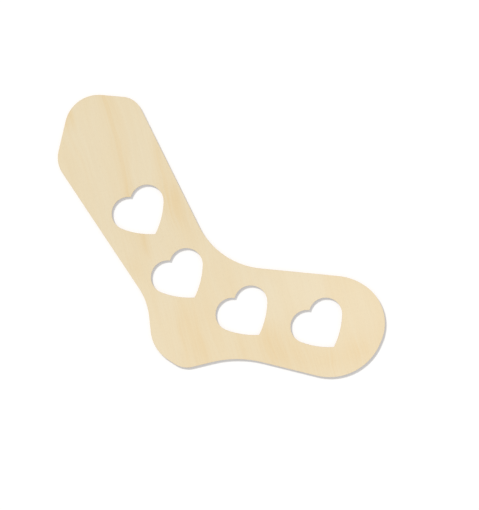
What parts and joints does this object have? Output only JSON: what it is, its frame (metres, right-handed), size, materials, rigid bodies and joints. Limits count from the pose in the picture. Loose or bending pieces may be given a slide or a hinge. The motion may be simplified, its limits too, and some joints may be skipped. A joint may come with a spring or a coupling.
{
  "type": "sock stretcher",
  "caption": "Flat sock-shaped plywood board with heart-shaped holes, on which a washed or hand-knitted sock is stretched to dry in shape.",
  "frame": {"origin": "middle of the board's box, on the rear face that the board lies on", "axes": "+Z out of the front face, +Y up the leg towards the cuff, parallel to the leg's straight back, +X towards the toe"},
  "size_m": [0.2116, 0.3778, 0.004],
  "materials": {
    "face_veneer": "sanded, bare birch veneer",
    "core_veneer": "laser-cut edge of a bare birch veneer",
    "glue_line": "cured wood glue, browned at the cut edge"
  },
  "bodies": {
    "root": {"rear_veneer": "face_veneer", "rear_glue_line": "glue_line", "core_veneer": "core_veneer", "front_glue_line": "glue_line", "front_veneer": "face_veneer"}
  },
  "joints": []
}
